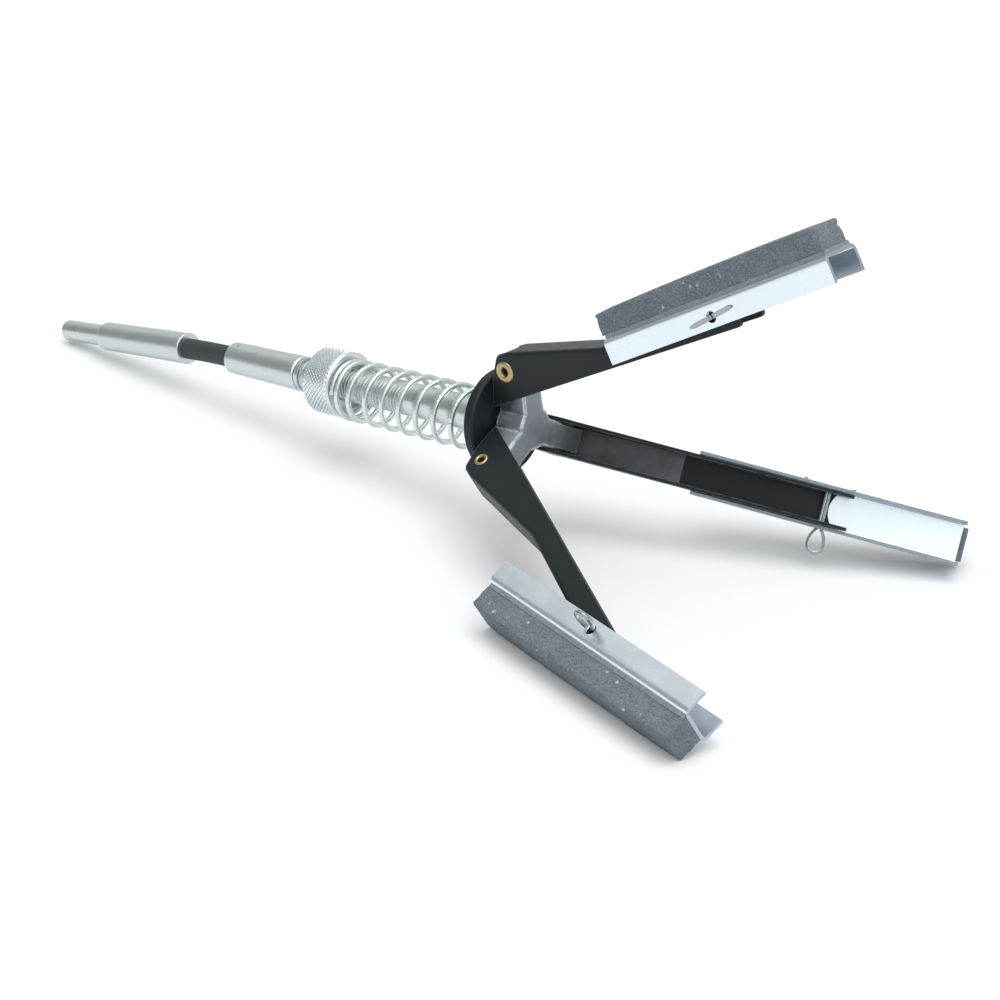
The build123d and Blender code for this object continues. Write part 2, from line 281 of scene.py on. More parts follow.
def spread(tree, value, low, high, to_low=0.0, to_high=1.0, change="LINEAR"):
    """Maps a value from one range to another and holds it there."""
    limits = {"Value": value, "From Min": low, "From Max": high, "To Min": to_low, "To Max": to_high}
    return add(tree, "ShaderNodeMapRange", limits, interpolation_type=change).outputs["Result"]


def mix_colours(tree, share, first, second, blend="MIX"):
    colours = {"Factor": share, 6: first, 7: second}
    return add(tree, "ShaderNodeMix", colours, data_type="RGBA", blend_type=blend).outputs[2]


def surface_place(tree):
    return add(tree, "ShaderNodeTexCoord").outputs["Object"]


def clouds(tree, place, scale, detail, roughness=0.5):
    values = {"Vector": place, "Scale": scale, "Detail": detail, "Roughness": roughness}
    return add(tree, "ShaderNodeTexNoise", values).outputs["Fac"]


def grains(tree, place, scale, channel):
    """Cells: a random value that each holds, and the distance from its middle."""
    cells = add(tree, "ShaderNodeTexVoronoi", {"Vector": place, "Scale": scale}).outputs
    values = add(tree, "ShaderNodeSeparateColor", {"Color": cells["Color"]}).outputs
    return values[channel], cells["Distance"]


def new_group(name, inputs, outputs):
    """A node group with named inputs, given as (type, default), and named outputs, given as types."""
    tree = bpy.data.node_groups.new(name, "ShaderNodeTree")
    for key, (kind, default) in inputs.items():
        socket = tree.interface.new_socket(name=key, in_out="INPUT", socket_type=f"NodeSocket{kind}")
        socket.default_value = default
    for key, kind in outputs.items():
        tree.interface.new_socket(name=key, in_out="OUTPUT", socket_type=f"NodeSocket{kind}")
    given = tree.nodes.new("NodeGroupInput").outputs
    result = tree.nodes.new("NodeGroupOutput").inputs
    return tree, given, result


def mottle_group():
    """Cloudy change of colour and roughness, with a fine height."""
    tree, given, result = new_group(
        "mottle",
        {"Colour": ("Color", WHITE), "Scale": ("Float", 200.0), "Spread": ("Float", 0.1),
         "Roughness": ("Float", 0.4), "Roughness Spread": ("Float", 0.1)},
        {"Colour": "Color", "Roughness": "Float", "Height": "Float"},
    )
    cloud = clouds(tree, surface_place(tree), given["Scale"], 6.0, roughness=0.62)
    swing = spread(tree, cloud, 0.3, 0.7, to_low=-1.0, to_high=1.0)
    level = plus(tree, 1.0, times(tree, swing, given["Spread"]))
    grey = add(tree, "ShaderNodeCombineColor", {"Red": level, "Green": level, "Blue": level}).outputs[0]
    shift = times(tree, swing, given["Roughness Spread"])
    tree.links.new(mix_colours(tree, 1.0, given["Colour"], grey, "MULTIPLY"), result["Colour"])
    tree.links.new(plus(tree, given["Roughness"], shift), result["Roughness"])
    tree.links.new(cloud, result["Height"])
    return tree


def edge_wear_and_highlight_group():
    """Paler metal where an edge or a corner is rubbed, in broken patches: partly wear, partly a painted
    highlight where an edge would catch the light.
    """
    tree, given, result = new_group(
        "rubbed edge and painted highlight",
        {"Colour": ("Color", WHITE), "Worn And Highlight Colour": ("Color", WHITE), "Width": ("Float", 0.0004),
         "Amount": ("Float", 1.0)},
        {"Colour": "Color", "Mask": "Float"},
    )
    rounded_way = add(tree, "ShaderNodeBevel", {"Radius": given["Width"]}, samples=6).outputs[0]
    flat_way = add(tree, "ShaderNodeNewGeometry").outputs["Normal"]
    rub_and_highlight = spread(tree, alignment(tree, rounded_way, flat_way), 0.995, 0.9)
    patches = spread(tree, clouds(tree, surface_place(tree), 420.0, 4.0), 0.33, 0.5)
    mask = times(tree, times(tree, rub_and_highlight, patches), given["Amount"])
    tree.links.new(mix_colours(tree, mask, given["Colour"], given["Worn And Highlight Colour"]), result["Colour"])
    tree.links.new(mask, result["Mask"])
    return tree


def lay_group():
    """Fine lines that a lathe leaves round the tool's axis."""
    tree, given, result = new_group("turning lines", {"Scale": ("Float", 3000.0)}, {"Height": "Float"})
    level = {"Vector": surface_place(tree), "Rotation": tool.to_3x3().normalized().inverted().to_euler()}
    stretch = {"Vector": add(tree, "ShaderNodeMapping", level).outputs[0], "Scale": (1.0, 0.02, 0.02)}
    stretched = add(tree, "ShaderNodeMapping", stretch).outputs[0]
    tree.links.new(clouds(tree, stretched, given["Scale"], 3.0), result["Height"])
    return tree


def grit_group():
    """Abrasive grains of mixed greys in a darker bond, with pale specks and smears."""
    tree, given, result = new_group(
        "grit",
        {"Bond": ("Color", WHITE), "Grain": ("Color", WHITE), "Speck": ("Color", WHITE),
         "Smear": ("Color", WHITE), "Scale": ("Float", 3400.0)},
        {"Colour": "Color", "Height": "Float"},
    )
    place = surface_place(tree)
    grain, _ = grains(tree, place, given["Scale"], "Red")
    tone = plus(tree, times(tree, grain, 0.7), times(tree, clouds(tree, place, 160.0, 5.0), 0.5))
    body = mix_colours(tree, spread(tree, tone, 0.25, 0.95), given["Bond"], given["Grain"])
    chance, distance = grains(tree, place, 620.0, "Green")
    speck = times(tree, spread(tree, distance, 0.34, 0.18), spread(tree, chance, 0.93, 0.97))
    specked = mix_colours(tree, speck, body, given["Speck"])
    drift = clouds(tree, place, 95.0, 8.0, roughness=0.72)
    smear = spread(tree, drift, 0.655, 0.7, to_high=0.75)
    tree.links.new(mix_colours(tree, smear, specked, given["Smear"]), result["Colour"])
    tree.links.new(tone, result["Height"])
    return tree


mottle = mottle_group()
edge_wear_and_highlight = edge_wear_and_highlight_group()
lay = lay_group()
grit = grit_group()


# Finishes
finishes = {}


def shader(name, metallic, roughness, **constants):
    """A listed material with its Principled shader, whose unchanging values are on its own sockets."""
    material = bpy.data.materials.new(name)
    material.use_nodes = True
    tree = material.node_tree
    surface = tree.nodes["Principled BSDF"]
    surface.inputs["Metallic"].default_value = metallic
    surface.inputs["Roughness"].default_value = roughness
    for key, value in constants.items():
        surface.inputs[key.replace("_", " ")].default_value = value
    finishes[name] = material
    return tree, surface


def bump(tree, surface, height, strength, distance):
    """Raises a surface by a height, with its depth as a distance in metres."""
    values = {"Height": height, "Strength": strength, "Distance": distance}
    tree.links.new(add(tree, "ShaderNodeBump", values).outputs["Normal"], surface.inputs["Normal"])


def mottled(name, metallic, colour, roughness, scale=260.0, cloud=0.06, rough_cloud=0.06, relief=0.15,
            depth=0.00006, worn=None, turning=None, **constants):
    """A cloudy surface with a fine relief. Edges are rubbed, paler from wear and a painted highlight, and
    faces turned where values are given.
    """
    tree, surface = shader(name, metallic, roughness, **constants)
    values = {"Colour": (*colour, 1.0), "Scale": scale, "Spread": cloud, "Roughness": roughness,
              "Roughness Spread": rough_cloud}
    clouded = add(tree, "ShaderNodeGroup", values, node_tree=mottle).outputs
    tint = clouded["Colour"]
    height = clouded["Height"]
    # Paler edges: partly wear, partly a painted highlight
    if worn:
        worn_and_highlight_colour, amount, width = worn
        values = {"Colour": tint, "Worn And Highlight Colour": (*worn_and_highlight_colour, 1.0), "Width": width, "Amount": amount}
        tint = add(tree, "ShaderNodeGroup", values, node_tree=edge_wear_and_highlight).outputs["Colour"]
    if turning:
        lines = add(tree, "ShaderNodeGroup", {"Scale": turning}, node_tree=lay)
        height = plus(tree, height, lines.outputs["Height"])
    tree.links.new(tint, surface.inputs["Base Color"])
    tree.links.new(clouded["Roughness"], surface.inputs["Roughness"])
    bump(tree, surface, height, relief, depth)


def metal(name, colour, roughness, **values):
    """Bare or plated metal."""
    mottled(name, 1.0, colour, roughness, **values)


def matt(name, colour, roughness, metallic=0.0, **values):
    """A rough solid whose roughness changes more from place to place."""
    mottled(name, metallic, colour, roughness, rough_cloud=0.08, **values)


def abrasive():
    """Dark grey silicon carbide stone with glints of grain and pale bond."""
    tree, surface = shader("abrasive_stone", 0.0, 0.72, Specular_IOR_Level=0.35)
    colours = {"Bond": (0.095, 0.113, 0.13, 1.0), "Grain": (0.18, 0.212, 0.238, 1.0),
               "Speck": (0.42, 0.45, 0.47, 1.0), "Smear": (0.36, 0.39, 0.39, 1.0)}
    gritty = add(tree, "ShaderNodeGroup", colours, node_tree=grit).outputs
    tree.links.new(gritty["Colour"], surface.inputs["Base Color"])
    bump(tree, surface, gritty["Height"], 0.5, 0.00018)


# Rubbed edges, paler from wear and a painted highlight: colour, amount, and width in metres
rubbed_and_highlit_satin = ((0.95, 0.97, 0.98), 0.9, 0.0004)
rubbed_and_highlit_knurl = ((0.85, 0.88, 0.89), 0.35, 0.00015)
rubbed_and_highlit_casting = ((0.9, 0.94, 0.96), 1.0, 0.0014)
rubbed_and_highlit_oxide = ((0.17, 0.185, 0.19), 0.9, 0.0003)

metal("bright_steel", (0.6, 0.65, 0.65), 0.3, cloud=0.03, relief=0.05, turning=2600.0)
metal("satin_steel", (0.6, 0.65, 0.655), 0.32, cloud=0.03, relief=0.05, turning=2200.0, worn=rubbed_and_highlit_satin)
metal("threaded_steel", (0.64, 0.7, 0.695), 0.3, scale=180.0, cloud=0.09)
metal("knurled_steel", (0.66, 0.7, 0.71), 0.36, worn=rubbed_and_highlit_knurl)
metal("spring_steel", (0.68, 0.73, 0.73), 0.27, relief=0.1)
metal("pin_steel", (0.36, 0.39, 0.395), 0.25, relief=0.05)
metal("cast_hub", (0.285, 0.315, 0.34), 0.5, scale=500.0, cloud=0.1, relief=0.4, worn=rubbed_and_highlit_casting)
metal("eyelet_brass", (0.46, 0.37, 0.205), 0.34, cloud=0.14)
metal("zinc_plate", (0.74, 0.82, 0.86), 0.26, scale=90.0, cloud=0.035, rough_cloud=0.05, relief=0.04)
# Darker, bluer zinc: painted shade on the insides of the carriers' flanges, and the colour of their cut ends
metal("zinc_painted_shade_and_cut_ends", (0.42, 0.48, 0.54), 0.34, relief=0.05)
matt("zinc_cut_edge", (0.27, 0.3, 0.33), 0.45, metallic=0.7, scale=700.0, cloud=0.15, relief=0.2,
     depth=0.0001)
matt("flexible_wire", (0.026, 0.034, 0.038), 0.6, scale=600.0, cloud=0.1, depth=0.0001)
# Paler oxide on the inside of the arms' webs: a painted reflection
matt("oxide_painted_reflection", (0.125, 0.138, 0.152), 0.5, scale=120.0, cloud=0.35, depth=0.0001)
matt("cement", (0.185, 0.213, 0.23), 0.8, scale=900.0, cloud=0.25, relief=0.5, depth=0.0003)
mottled("black_oxide", 0.0, (0.008, 0.0125, 0.0155), 0.42, scale=420.0, cloud=0.1, rough_cloud=0.05,
        relief=0.18, depth=0.00012, worn=rubbed_and_highlit_oxide, Specular_IOR_Level=0.25)
abrasive()


# Shapes
def outline_ring(form, profile, closed):
    """Vertices and edges of an outline of (x, radius) pairs, in the plane y = 0."""
    points = [form.verts.new((x, 0.0, radius)) for x, radius in profile]
    following = points[1:] + (points[:1] if closed else [])
    return points + [form.edges.new(pair) for pair in zip(points, following)]


def turned(profile, steps=96, closed=False):
    """A solid turned about the x axis; a closed profile leaves a bore."""
    form = bmesh.new()
    geometry = outline_ring(form, profile, closed)
    bmesh.ops.spin(form, geom=geometry, cent=(0, 0, 0), axis=(1, 0, 0), angle=FULL_TURN, steps=steps,
                   use_merge=True)
    bmesh.ops.remove_doubles(form, verts=form.verts, dist=merge_distance)
    return form


def screwed(rear, front, pitch, shape, steps=48):
    """A rod with a helical groove; shape gives (share of the pitch, radius) for one pitch.

    It is turned a pitch too long at each end, and then cut square and capped.
    """
    form = bmesh.new()
    profile = []
    for turn in range(int((front - rear) / pitch) + 3):
        profile += [(rear + pitch * (turn - 1 + share), radius) for share, radius in shape]
    geometry = outline_ring(form, profile, False)
    bmesh.ops.spin(form, geom=geometry, cent=(0, 0, 0), axis=(1, 0, 0), dvec=(-pitch / steps, 0, 0),
                   angle=FULL_TURN, steps=steps)
    bmesh.ops.remove_doubles(form, verts=form.verts, dist=merge_distance)
    for station, outwards in ((rear, -1), (front, 1)):
        everything = form.verts[:] + form.edges[:] + form.faces[:]
        bmesh.ops.bisect_plane(form, geom=everything, dist=cut_distance, plane_co=(station, 0, 0),
                               plane_no=(outwards, 0, 0), clear_outer=True)
    open_edges = [edge for edge in form.edges if edge.is_boundary]
    bmesh.ops.holes_fill(form, edges=open_edges)
    return form


def swept(section, stations):
    """A closed section carried along matrices, from a first cap to a last one."""
    form = bmesh.new()
    cap = form.faces.new([form.verts.new(stations[0] @ Vector(point)) for point in section])
    for before, after in zip(stations, stations[1:]):
        made = bmesh.ops.extrude_face_region(form, geom=[cap])["geom"]
        moved = [item for item in made if isinstance(item, bmesh.types.BMVert)]
        cap = next(item for item in made if isinstance(item, bmesh.types.BMFace))
        bmesh.ops.transform(form, matrix=after @ before.inverted(), verts=moved)
    return form


def facing(point, forward, outward):
    """Matrix of a section on a path: x outwards, z along the path."""
    forward = forward.normalized()
    outward = (outward - forward * outward.dot(forward)).normalized()
    turn = Matrix((outward, forward.cross(outward), forward)).transposed().to_4x4()
    return Matrix.Translation(point) @ turn


def headings(path):
    """The way that a path runs at each of its points."""
    last = len(path) - 1
    return [path[min(index + 1, last)] - path[max(index - 1, 0)] for index in range(len(path))]


def round_section(radius, corners=14):
    angles = [FULL_TURN * corner / corners for corner in range(corners)]
    return [(radius * math.cos(angle), radius * math.sin(angle), 0.0) for angle in angles]


def swollen_rim(station, height, first_radius, last_radius, steps):
    """Outline of a half-round rim from one radius to another, swollen by a height along the axis."""
    middle = (first_radius + last_radius) / 2
    reach = (first_radius - last_radius) / 2
    angles = [math.pi * step / steps for step in range(steps + 1)]
    return [(station + height * math.sin(angle), middle + reach * math.cos(angle)) for angle in angles]


def held(value):
    """A value kept between 0 and 1."""
    return min(max(value, 0.0), 1.0)


def eased(value):
    """A value held between 0 and 1 that leaves and reaches them gently."""
    value = held(value)
    return value * value * (3 - 2 * value)


def fine_block(size, cell):
    """A block in small even cells, centred on the origin."""
    form = bmesh.new()
    bmesh.ops.create_cube(form, size=1.0)
    bmesh.ops.scale(form, verts=form.verts, vec=size)
    for axis in range(3):
        run = [edge for edge in form.edges
               if abs(edge.verts[0].co[axis] - edge.verts[1].co[axis]) > size[axis] / 2]
        bmesh.ops.subdivide_edges(form, edges=run, cuts=int(size[axis] / cell), use_grid_fill=True)
    return form


def rounded(point, half, radius):
    """Moves a point of a block's face onto the block with rounded edges."""
    core = Vector([max(-limit + radius, min(limit - radius, value)) for value, limit in zip(point, half)])
    away = point - core
    return core + away.normalized() * radius if away.length > radius else point


def chipped(size, cell, radius, grain, chip, seed):
    """A block with rounded and chipped edges, its bedded under-edges least, and rough faces."""
    form = fine_block(size, cell)
    half = Vector(size) / 2
    for vert in form.verts:
        point = vert.co.copy()
        gaps = sorted(limit - abs(value) for value, limit in zip(point, half))
        share = bedded_share if point.y < 0 else 1.0
        point = rounded(point, half, radius * share)
        by_edge = eased(1.0 - gaps[1] / chip_reach) * share
        chip_place = point * chip_frequency + Vector((seed, seed * 1.7, 0))
        break_out = max(0.0, noise.noise(chip_place) - chip_threshold) * chip * by_edge
        rough = noise.noise(point * grain_frequency + Vector((0, seed, 0))) * grain
        outward = point.copy()
        outward.x = max(0.0, abs(point.x) - half.x + end_zone) * (1 if point.x > 0 else -1)
        vert.co = point - outward.normalized() * (break_out + rough + grain)
    return form


# Pieces
def finish_piece(name, form, place, body, finish, node, smooth):
    """Places a form, makes it an object that stands for a node, and puts it on its body."""
    form.transform(place)
    bmesh.ops.recalc_face_normals(form, faces=form.faces)
    mesh = bpy.data.meshes.new(name)
    form.to_mesh(mesh)
    form.free()
    mesh.materials.append(finishes[finish])
    mesh.shade_smooth()
    mesh.set_sharp_from_angle(angle=math.radians(smooth))
    piece = bpy.data.objects.new(name, mesh)
    bpy.context.scene.collection.objects.link(piece)
    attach(piece, body)
    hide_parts(node)
    return piece


def spring_path(points_per_turn=44):
    """Points of the left-hand wound spring: close at both ends, open between them."""
    count = int(spring_turns * points_per_turn)
    station = spring_rear
    path = []
    for index in range(count + 1):
        turn = spring_turns * index / count
        angle = first_angle - FULL_TURN * turn
        height = coil_radius * math.sin(angle) - spring_drop
        path.append(Vector((station, coil_radius * math.cos(angle), height)))
        from_end = min(turn, spring_turns - turn)
        share = eased((from_end - closed_turns) / opening_turns)
        station += (closed_pitch + (open_pitch - closed_pitch) * share) * spring_turns / count
    return path


def spring_part(name, path):
    """A length of the spring, swept along its path and put on the spindle's body."""
    stations = [facing(point, ahead, Vector((0, point.y, point.z + spring_drop)))
                for point, ahead in zip(path, headings(path))]
    form = swept(round_section(wire_radius), stations)
    piece = finish_piece(name, form, tool, "spindle", "spring_steel", "compression_spring", smooth=60.0)
    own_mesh(piece)


def spring():
    """The spring in two lengths, one that the nut presses and one that the disc presses."""
    path = spring_path()
    split = next(index for index, point in enumerate(path) if point.x > spring_split)
    spring_part("spring_rear_coils", path[:split + 1])
    spring_part("spring_front_coils", path[split:])


def spindle():
    """The grooved end in the sleeve, the threaded length and the plain length to the hub, as one rod."""
    root = spindle_radius - thread_depth
    crest_start, crest_end = thread_crest
    shape = ((0.0, root), (thread_root_end, root), (crest_start, spindle_radius), (crest_end, spindle_radius))
    form = screwed(groove_front, thread_front, thread_pitch, shape)
    rear = turned([
        (spindle_rear, 0), (spindle_rear, spindle_radius), (groove_rear, spindle_radius),
        (groove_rear, groove_radius), (groove_front, groove_radius), (groove_front, 0),
    ])
    front = turned([
        (thread_front, 0), (thread_front, root), (thread_front + thread_runout, spindle_radius),
        (spindle_front - spindle_chamfer, spindle_radius),
        (spindle_front, spindle_radius - spindle_chamfer), (spindle_front, 0),
    ])
    for part in (rear, front):
        mesh = bpy.data.meshes.new("spindle_length")
        part.to_mesh(mesh)
        part.free()
        form.from_mesh(mesh)
        bpy.data.meshes.remove(mesh)
    finish_piece("threaded_rod", form, tool, "spindle", "threaded_steel", "threaded_spindle", smooth=30.0)


def nut():
    """The tension nut: a diamond knurl between two plain edges, with a recess towards the spring."""
    rear_land = nut_rear + nut_edge
    front_land = nut_front - nut_edge
    band = [rear_land + (front_land - rear_land) * row / knurl_rows for row in range(knurl_rows + 1)]
    recess_floor = nut_front - nut_recess_depth
    profile = [(nut_rear, nut_bore + nut_bore_chamfer), (nut_rear, nut_radius - nut_edge)]
    profile += [(station, nut_radius) for station in band]
    profile += [
        (nut_front, nut_radius - nut_edge), (nut_front, nut_recess_radius),
        (recess_floor, nut_recess_radius), (recess_floor, nut_bore), (nut_rear + nut_bore_chamfer, nut_bore),
    ]
    form = turned(profile, steps=knurl_around, closed=True)

    def off_axis(vert):
        return math.hypot(vert.co.y, vert.co.z)

    def on_band(face, slack=0.01, skin=0.05):
        return all(rear_land - slack < vert.co.x < front_land + slack and off_axis(vert) > nut_radius - skin
                   for vert in face.verts)

    cells = [face for face in form.faces if on_band(face)]
    inner = [edge for edge in form.edges
             if len(edge.link_faces) == 2 and all(face in cells for face in edge.link_faces)]
    for vert in bmesh.ops.poke(form, faces=cells)["verts"]:
        vert.co.yz = vert.co.yz * (nut_radius / off_axis(vert))
    bmesh.ops.dissolve_edges(form, edges=inner)
    diamonds = [face for face in form.faces if len(face.verts) == 4 and on_band(face)]
    bmesh.ops.inset_individual(form, faces=diamonds, thickness=knurl_land, depth=-knurl_depth)
    finish_piece("knurled_nut", form, tool, "nut", "knurled_steel", "tension_nut", smooth=20.0)


def bent_down(point):
    """Carries a point of a straight rod behind the sleeve onto the slack arc and the line after it."""
    behind = sleeve_rear - point.x
    if behind <= 0:
        return point
    turned_by = flexible_sag * min(behind / flexible_gap, 1.0)
    radius = flexible_gap / flexible_sag
    beyond = max(behind - flexible_gap, 0.0)
    station = sleeve_rear - radius * math.sin(turned_by) - beyond * math.cos(turned_by)
    drop = radius * (1 - math.cos(turned_by)) + beyond * math.sin(turned_by)
    return Vector((station - point.z * math.sin(turned_by), point.y, point.z * math.cos(turned_by) - drop))


def flexible_shaft():
    """Close-wound wire between the ferrule and the sleeve, drawn with a slack bend behind the sleeve."""
    rear = sleeve_rear - flexible_gap - flexible_cover
    front = sleeve_rear + flexible_cover
    valley = flexible_radius - winding_depth
    shoulder = flexible_radius - winding_shoulder
    rise, crest, fall = winding_shares
    shape = ((0.0, valley), (rise, shoulder), (crest, flexible_radius), (fall, shoulder))
    form = screwed(rear, front, winding_pitch, shape)
    for vert in form.verts:
        vert.co = bent_down(vert.co)
    piece = finish_piece("wound_flexible_shaft", form, tool, "spindle", "flexible_wire", "flexible_shaft",
                         smooth=50.0)
    # A piece that runs between two bodies has no parent
    piece.parent = None
    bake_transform(piece)


def eyelet(side):
    """A hollow brass rivet: a domed ring at one end, a small roll at the other."""
    head = arm_half
    roll = -arm_half
    profile = [(head, eyelet_radius)]
    profile += swollen_rim(head, head_height, head_radius, eyelet_bore + head_lip, steps=8)
    profile += [(head - head_flare, eyelet_bore), (roll + roll_flare, eyelet_bore)]
    profile += swollen_rim(roll, -roll_height, eyelet_bore + roll_lip, roll_radius, steps=6)
    profile.append((roll, eyelet_radius))
    form = turned(profile, steps=48, closed=True)
    finish_piece(f"{side}_hollow_rivet", form, eyelet_frames[side], f"{side}_arm", "eyelet_brass",
                 f"{side}_eyelet", smooth=50.0)


def over_carrier(side, shift, height):
    """Matrix of a block whose middle is over its carrier's middle, shifted along it, at a height."""
    middle = Vector((carrier_rear + carrier_length / 2 + shift, height, 0))
    return carrier_frames[side] @ Matrix.Translation(middle)


def worn_by(depth, distance, start):
    """Wear that grows from a distance off a stone's middle to its depth at the stone's end."""
    return depth * max(0.0, (distance - start) / (stone_size[0] / 2 - start)) ** 2


def stone(side, seed):
    """An abrasive stick, chipped along its edges and worn hollow towards both ends."""
    form = chipped(stone_size, cell=0.55, radius=0.6, grain=0.035, chip=1.5, seed=seed)
    belly, corner = rear_wear[side]
    for vert in form.verts:
        forward = vert.co.x
        worn = worn_by(belly, -forward, belly_start) + worn_by(corner, -forward, corner_start)
        worn += worn_by(front_wear, forward, front_start)
        vert.co.y -= worn * (vert.co.y / stone_size[1] + 0.5)
    place = over_carrier(side, stone_shift[side], stone_top - stone_size[1] / 2)
    finish_piece(f"{side}_abrasive_stick", form, place, f"{side}_carrier", "abrasive_stone",
                 f"{side}_stone", smooth=60.0)


def cement(side, seed):
    """A bed that squeezed out at both sides, laps onto the stone in waves and fills the carrier's bends."""
    form = chipped(cement_size, cell=0.6, radius=0.3, grain=0.03, chip=0.3, seed=seed)
    for vert in form.verts:
        wave = noise.noise(Vector((vert.co.x * long_wave, seed, 0)))
        wave += short_wave_share * noise.noise(Vector((vert.co.x * short_wave, 0, seed)))
        if vert.co.y > 0:
            vert.co.y += vert.co.y * (wave_base + wave_share * wave)
        elif abs(vert.co.z) > bend_start:
            vert.co.z *= bend_spread
            vert.co.y -= bend_slope * (abs(vert.co.z) - bend_start)
    place = over_carrier(side, 0.0, carrier_top - cement_lap + cement_size[1] / 2)
    finish_piece(f"{side}_cement_bed", form, place, f"{side}_carrier", "cement", f"{side}_cement",
                 smooth=60.0)


def cotter_path(leg_steps=9, bend_steps=6, eye_steps=14):
    """Half of a cotter pin's path in its own plane, from a leg's tip to the bottom of the eye."""
    leg_height = carrier_half + leg_rise
    root = -carrier_half - eye_gap
    lobe = (eye_width - pin_thickness) / 2
    narrow, widening = eye_taper
    path = []
    for step in range(leg_steps):
        along = leg_length * (1 - step / leg_steps)
        path.append(Vector((-along, 0, leg_height + leg_curl * (along / leg_length) ** 2)))
    for step in range(bend_steps + 1):
        angle = math.pi / 2 * step / bend_steps
        aside = -leg_bend + (leg_bend - pin_split) * math.sin(angle)
        path.append(Vector((aside, 0, leg_height - leg_bend + leg_bend * math.cos(angle))))
    path.append(Vector((-pin_split, 0, 0)))
    path.append(Vector((-pin_split, 0, root + eye_neck)))
    for step in range(1, eye_steps + 1):
        share = step / eye_steps
        angle = math.pi * share
        depth = root - (eye_length - pin_thickness) * (1 - math.cos(angle)) / 2
        aside = -lobe * math.sin(angle) ** eye_fullness * (narrow + widening * share)
        path.append(Vector((aside, 0, depth)))
    path[-1].x = 0.0
    return path


def wire_section(steps=10):
    """The half-round section of a cotter pin's wire, flat towards its other half."""
    flat_half = pin_half_width * pin_flat_share
    section = [(-pin_flat, -flat_half, 0.0), (-pin_flat, flat_half, 0.0)]
    for step in range(1, steps):
        angle = math.pi * step / steps
        section.append((-pin_thickness * math.sin(angle), pin_half_width * math.cos(angle), 0.0))
    return section


def cotter_pin(side):
    """Half-round wire folded to a pin: two bent and pointed legs, a split shank and a teardrop eye."""
    half = cotter_path()
    path = half + [Vector((-point.x, 0, point.z)) for point in reversed(half[:-1])]
    stations = []
    for point, ahead in zip(path, headings(path)):
        inward = Vector((0, 1, 0)).cross(ahead.normalized())
        from_tip = (leg_length - abs(point.x)) / leg_point if point.z > carrier_half else 1.0
        size = leg_tip_share + (1 - leg_tip_share) * math.sqrt(held(from_tip))
        stations.append(facing(point, ahead, -inward) @ Matrix.Diagonal((size, size, 1.0, 1.0)))
    form = swept(wire_section(), stations)
    place = carrier_frames[side] @ Matrix.Rotation(math.radians(pin_turn[side]), 4, "Z")
    piece = finish_piece(f"{side}_split_pin", form, place, f"{side}_carrier", "bright_steel",
                         f"{side}_cotter_pin", smooth=35.0)
    piece.data.materials[0] = finishes["pin_steel"]


def softened(name, node, body, finish, edge):
    """A copy of a frame node with its edges lightly broken, so that they catch the light."""
    form = bmesh.new()
    form.from_mesh(nodes[node].data)
    bmesh.ops.remove_doubles(form, verts=form.verts, dist=node_merge_distance)
    bmesh.ops.dissolve_limit(form, angle_limit=math.radians(0.5), verts=form.verts, edges=form.edges)
    piece = finish_piece(name, form, Matrix.Identity(4), body, finish, node, smooth=30.0)
    bevel = piece.modifiers.new("broken edges", "BEVEL")
    bevel.width = edge
    bevel.segments = 2
    bevel.limit_method = "ANGLE"
    bevel.angle_limit = math.radians(35)
    bevel.harden_normals = True
    return piece


def arm(side, least_facing=0.85, least_area=80):
    """An arm, with a paler oxide painted on the inside of its web from the ears to the kink, as a painted
    reflection.
    """
    piece = softened(f"{side}_pressed_arm", f"{side}_arm", f"{side}_arm", "black_oxide", arm_edge)
    piece.data.materials.append(finishes["oxide_painted_reflection"])
    _, inward, along = eyelet_frames[side].to_3x3().normalized().col
    webs = [face for face in piece.data.polygons
            if face.normal.dot(inward) > least_facing and face.area > least_area * MM * MM]
    rearmost = min(webs, key=lambda face: face.center.dot(along))
    # The web's rearmost inside face takes the painted reflection
    rearmost.material_index = 1


def carrier(side, square_on=0.98, sideways_on=0.95, rim_depth=0.1):
    """A folded carrier, with a duller finish on its sheared rims, and a darker zinc on its ends and on its
    flanges' insides, where it is painted shade.
    """
    piece = softened(f"{side}_folded_carrier", f"{side}_carrier", f"{side}_carrier", "zinc_plate",
                     carrier_edge)
    piece.data.materials.append(finishes["zinc_cut_edge"])
    piece.data.materials.append(finishes["zinc_painted_shade_and_cut_ends"])
    along, outward, across = carrier_frames[side].to_3x3().normalized().col
    middle = carrier_frames[side].translation.dot(across)
    lowest = min(vert.co.dot(outward) for vert in piece.data.vertices)
    for face in piece.data.polygons:
        sideways = face.normal.dot(across)
        on_rim = face.center.dot(outward) < lowest + rim_depth * MM
        faces_middle = sideways * (face.center.dot(across) - middle) < 0
        if face.normal.dot(outward) < -square_on and on_rim:
            face.material_index = 1
        # The flanges' insides get the darker zinc as painted shade
        elif abs(sideways) > sideways_on and faces_middle:
            face.material_index = 2
        elif abs(face.normal.dot(along)) > square_on:
            face.material_index = 2


def dress(node, finish):
    """Gives a frame node its finish."""
    slots = nodes[node].material_slots
    for slot in slots:
        slot.material = finishes[finish]
    if not slots:
        nodes[node].data.materials.append(finishes[finish])


spring()
spindle()
nut()
flexible_shaft()
for number, side in enumerate(sides):
    eyelet(side)
    stone(side, seed=11.3 * number + 4.1)
    cement(side, seed=7.9 * number + 2.6)
    arm(side)
    carrier(side)
for side in sides:
    cotter_pin(side)
softened("three_lobe_hub", "hub", "spindle", "cast_hub", hub_edge)
softened("thick_washer", "pusher_disc", "pusher", "black_oxide", disc_edge)
dress("drive_shank", "bright_steel")
dress("stop_ring", "bright_steel")
dress("rear_ferrule", "satin_steel")
dress("front_sleeve", "satin_steel")


